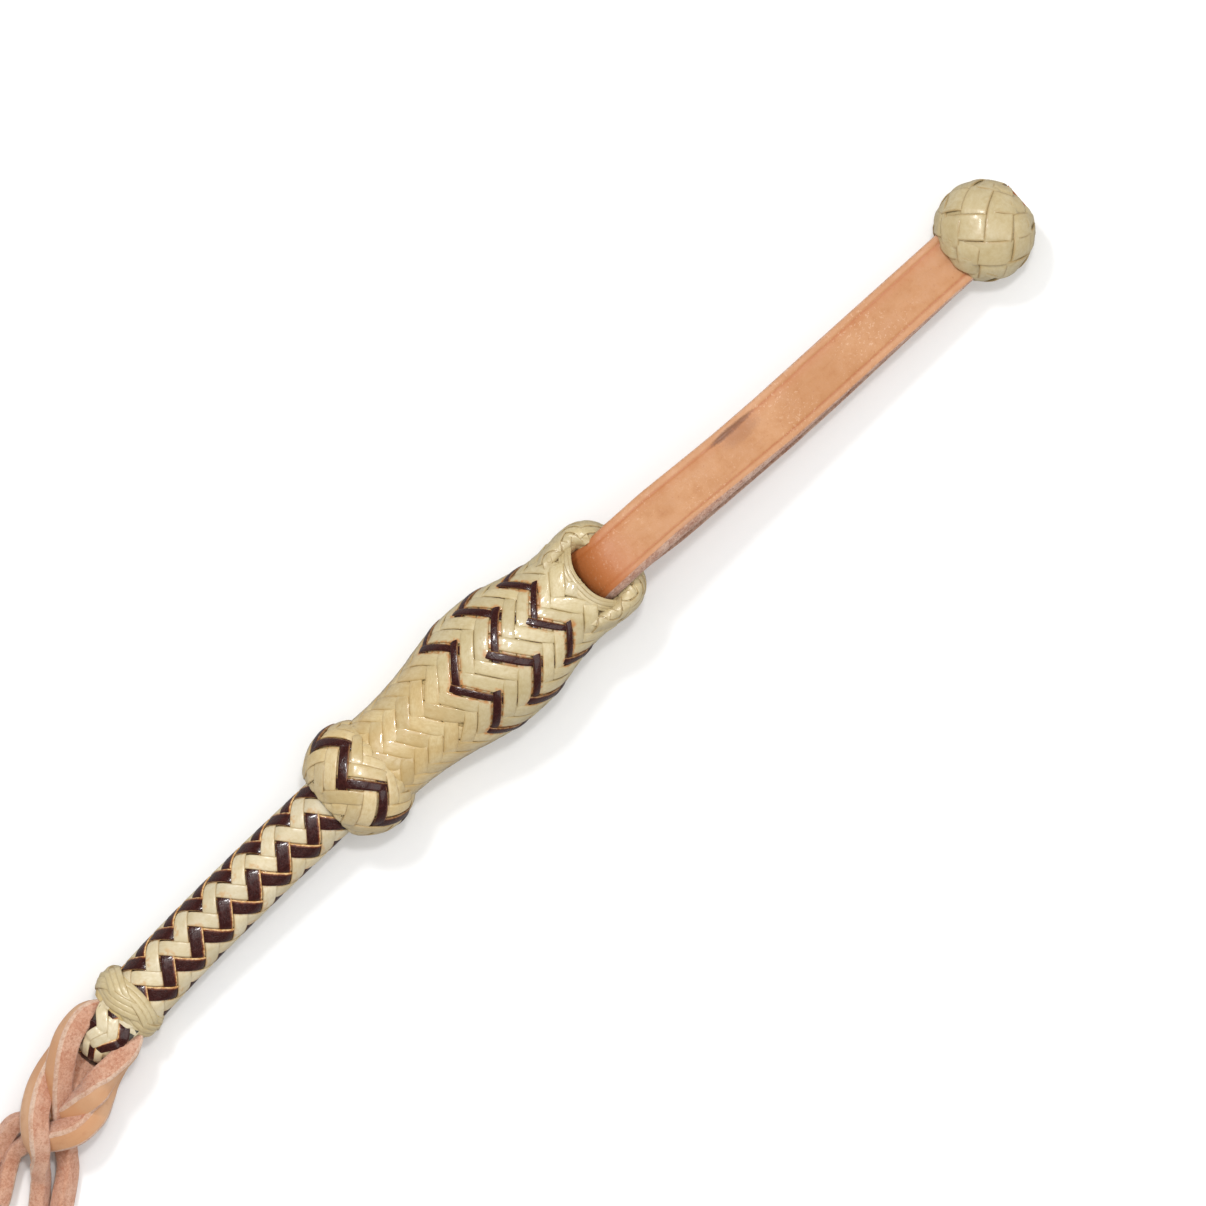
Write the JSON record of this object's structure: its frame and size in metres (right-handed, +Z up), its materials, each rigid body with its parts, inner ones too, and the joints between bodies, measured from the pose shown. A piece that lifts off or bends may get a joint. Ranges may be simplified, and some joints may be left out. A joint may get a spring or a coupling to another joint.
{
  "type": "braided rawhide quirt",
  "caption": "Short braided riding whip: swelled woven handle with a leather wrist loop and knob at one end, a flexible braided body, and a leather lash with tails at the other.",
  "frame": {"origin": "on the floor, under the middle of the part's box as it lies at rest", "axes": "+X along the handle from the lash end towards the wrist knob, +Y across it, +Z up from the floor it lies on"},
  "size_m": [0.5992, 0.244, 0.0376],
  "materials": {
    "rawhide_natural": "varnished natural rawhide lace",
    "rawhide_grip": "glossy varnished rawhide lace, warmer from handling",
    "rawhide_dark": "dyed dark rawhide lace, glossy",
    "strap_leather": "russet strap leather, satin",
    "lash_leather": "split leather, grain on one side and rough flesh on the other",
    "core_leather": "raw twisted hide core, matte"
  },
  "bodies": {
    "handle": {"handle_core": "core_leather", "handle_braid_cover": "rawhide_grip", "swell_foundation": "core_leather", "swell_dark_lace_1": "rawhide_dark", "swell_dark_lace_2": "rawhide_dark", "swell_dark_lace_3": "rawhide_dark", "lower_button_foundation": "core_leather", "lower_button_knot": "rawhide_grip", "lower_button_dark_lace": "rawhide_dark", "eye_loop_core": "core_leather", "eye_whipping": "rawhide_natural", "eye_braid_cover": "rawhide_natural"},
    "wrist_strap_lower": {"wrist_strap_fold": "strap_leather"},
    "wrist_strap_upper": {"wrist_strap_front_ply": "strap_leather", "wrist_strap_back_ply": "strap_leather", "wrist_knob_core": "strap_leather", "wrist_knob_lace": "rawhide_natural"},
    "body_root": {"body_core_root": "core_leather"},
    "body": {"body_core": "core_leather", "end_loop_braid": "rawhide_natural", "ring_knot": "rawhide_natural", "body_strand_right_natural_1": "rawhide_natural", "body_strand_left_dark_1": "rawhide_dark", "body_strand_right_dark_1": "rawhide_dark", "body_strand_left_natural_1": "rawhide_natural", "body_strand_right_natural_2": "rawhide_natural", "body_strand_left_dark_2": "rawhide_dark", "body_strand_right_dark_2": "rawhide_dark", "body_strand_left_natural_2": "rawhide_natural", "body_strand_right_natural_3": "rawhide_natural", "body_strand_left_dark_3": "rawhide_dark", "body_strand_right_dark_3": "rawhide_dark", "body_strand_left_natural_3": "rawhide_natural", "body_strand_right_natural_4": "rawhide_natural", "body_strand_left_dark_4": "rawhide_dark", "body_strand_right_dark_4": "rawhide_dark", "body_strand_left_natural_4": "rawhide_natural"},
    "lash": {"lash_strap_upper": "lash_leather", "lash_strap_lower": "lash_leather"},
    "tail_1_near": {"tail_1_upper": "lash_leather"},
    "tail_1_far": {"tail_1_tip": "lash_leather"},
    "tail_2_near": {"tail_2_upper": "lash_leather"},
    "tail_2_far": {"tail_2_tip": "lash_leather"},
    "tail_3_near": {"tail_3_upper": "lash_leather"},
    "tail_3_far": {"tail_3_tip": "lash_leather"},
    "tail_4_near": {"tail_4_upper": "lash_leather"},
    "tail_4_far": {"tail_4_tip": "lash_leather"}
  },
  "joints": [
    {"name": "wrist_strap_swing", "type": "hinge", "parent": "handle", "child": "wrist_strap_lower", "pos_m": [0.15335, 0.1035, 0.02046], "axis": [0, 1, 0], "range_deg": [-75, 75]},
    {"name": "wrist_strap_bend", "type": "hinge", "parent": "wrist_strap_lower", "child": "wrist_strap_upper", "pos_m": [0.2138, 0.1035, 0.01735], "axis": [0, 1, 0], "range_deg": [-35, 35], "stiffness_Nm_per_rad": 0.05},
    {"name": "body_flex_side", "type": "hinge", "parent": "handle", "child": "body_root", "pos_m": [0.05181, 0.1031, 0.01561], "axis": [-0.0414, 0, 0.9991], "range_deg": [-20, 20], "stiffness_Nm_per_rad": 0.6},
    {"name": "body_flex_up", "type": "hinge", "parent": "body_root", "child": "body", "pos_m": [0.05181, 0.1031, 0.01561], "axis": [0, 1, 0], "range_deg": [-20, 20], "stiffness_Nm_per_rad": 0.6},
    {"name": "lash_swing", "type": "hinge", "parent": "body", "child": "lash", "pos_m": [-0.0337, 0.0961, 0.01093], "axis": [-0.1776, 0.9841, 0], "range_deg": [-45, 45], "stiffness_Nm_per_rad": 0.02},
    {"name": "tail_1_flex", "type": "hinge", "parent": "lash", "child": "tail_1_near", "pos_m": [-0.06679, 0.09979, 0.00461], "axis": [0.4226, -0.9063, 0], "range_deg": [-60, 60], "stiffness_Nm_per_rad": 0.01},
    {"name": "tail_1_tip_flex", "type": "hinge", "parent": "tail_1_near", "child": "tail_1_far", "pos_m": [-0.18443, 0.04494, 0.00236], "axis": [0.515, -0.8572, 0], "range_deg": [-60, 60], "stiffness_Nm_per_rad": 0.006},
    {"name": "tail_2_flex", "type": "hinge", "parent": "lash", "child": "tail_2_near", "pos_m": [-0.07284, 0.08811, 0.00261], "axis": [0.4924, -0.8704, 0], "range_deg": [-55, 55], "stiffness_Nm_per_rad": 0.01},
    {"name": "tail_2_tip_flex", "type": "hinge", "parent": "tail_2_near", "child": "tail_2_far", "pos_m": [-0.18582, 0.02419, 0.00236], "axis": [0.5592, -0.829, 0], "range_deg": [-60, 60], "stiffness_Nm_per_rad": 0.006},
    {"name": "tail_3_flex", "type": "hinge", "parent": "lash", "child": "tail_3_near", "pos_m": [-0.0738, 0.079, 0.00261], "axis": [0.749, -0.6626, 0], "range_deg": [-60, 60], "stiffness_Nm_per_rad": 0.01},
    {"name": "tail_3_tip_flex", "type": "hinge", "parent": "tail_3_near", "child": "tail_3_far", "pos_m": [-0.1598, -0.01821, 0.00236], "axis": [0.682, -0.7314, 0], "range_deg": [-60, 60], "stiffness_Nm_per_rad": 0.006},
    {"name": "tail_4_flex", "type": "hinge", "parent": "lash", "child": "tail_4_near", "pos_m": [-0.06887, 0.07438, 0.00421], "axis": [0.766, -0.6428, 0], "range_deg": [-60, 60], "stiffness_Nm_per_rad": 0.01},
    {"name": "tail_4_tip_flex", "type": "hinge", "parent": "tail_4_near", "child": "tail_4_far", "pos_m": [-0.15231, -0.02505, 0.00236], "axis": [0.7193, -0.6947, 0], "range_deg": [-60, 60], "stiffness_Nm_per_rad": 0.006}
  ]
}
